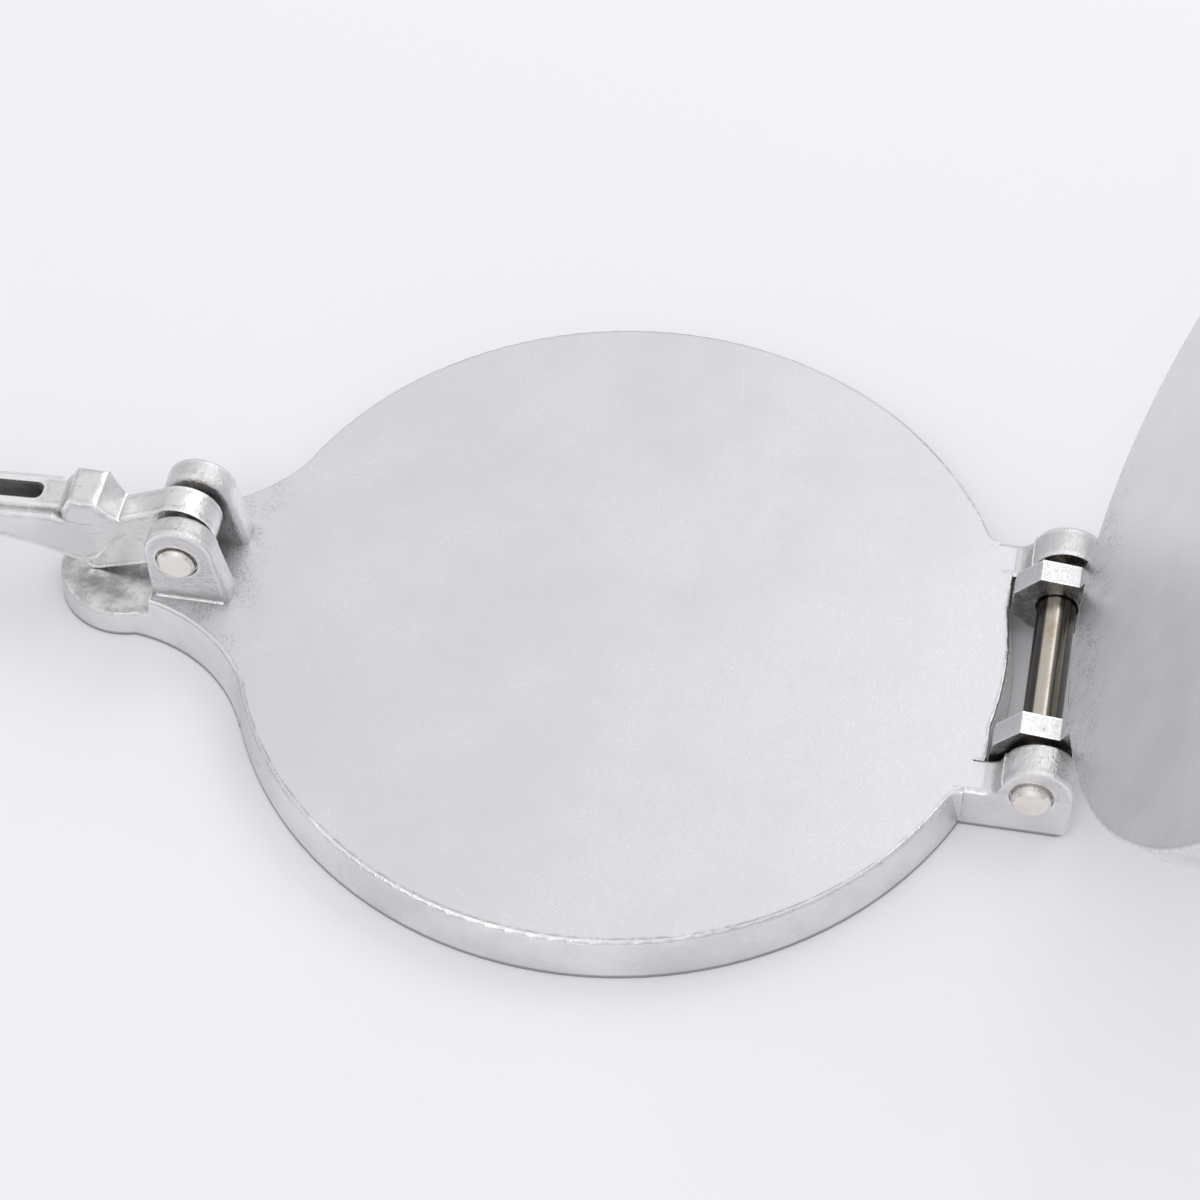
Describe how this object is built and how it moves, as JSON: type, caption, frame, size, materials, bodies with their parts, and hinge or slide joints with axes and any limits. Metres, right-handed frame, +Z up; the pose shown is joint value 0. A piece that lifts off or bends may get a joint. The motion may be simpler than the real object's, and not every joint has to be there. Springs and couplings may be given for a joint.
{
  "type": "tortilla press",
  "caption": "Hand press with two round cast plates hinged at one side and a lever at the other that swings over and squeezes them together.",
  "frame": {"origin": "centre of the round base plate, on the table it stands on", "axes": "+Z up from the table; +X from the plate's centre towards the plate hinge; -X towards the lever; +Y completes a right-handed frame along the hinge pin"},
  "size_m": [0.4504, 0.1628, 0.1596],
  "materials": {
    "base_casting": "fine matt blasted casting, worn bright on its edges",
    "top_casting": "satin working face, matt cast rim",
    "lever_casting": "tumbled casting with bright edges",
    "pin_steel": "turned, warm nickel tone"
  },
  "bodies": {
    "base": {"base_plate": "base_casting"},
    "press_plate": {"top_plate": "top_casting", "hinge_pin": "pin_steel"},
    "handle": {"lever": "lever_casting", "lever_pin": "pin_steel"}
  },
  "joints": [
    {"name": "plate_hinge", "type": "hinge", "parent": "base", "child": "press_plate", "pos_m": [0.0883, 0, 0.0112], "axis": [0, -1, 0], "range_deg": [0, 118]},
    {"name": "lever_pivot", "type": "hinge", "parent": "base", "child": "handle", "pos_m": [-0.0911, 0, 0.0217], "axis": [0, 1, 0], "range_deg": [0, 162]}
  ]
}
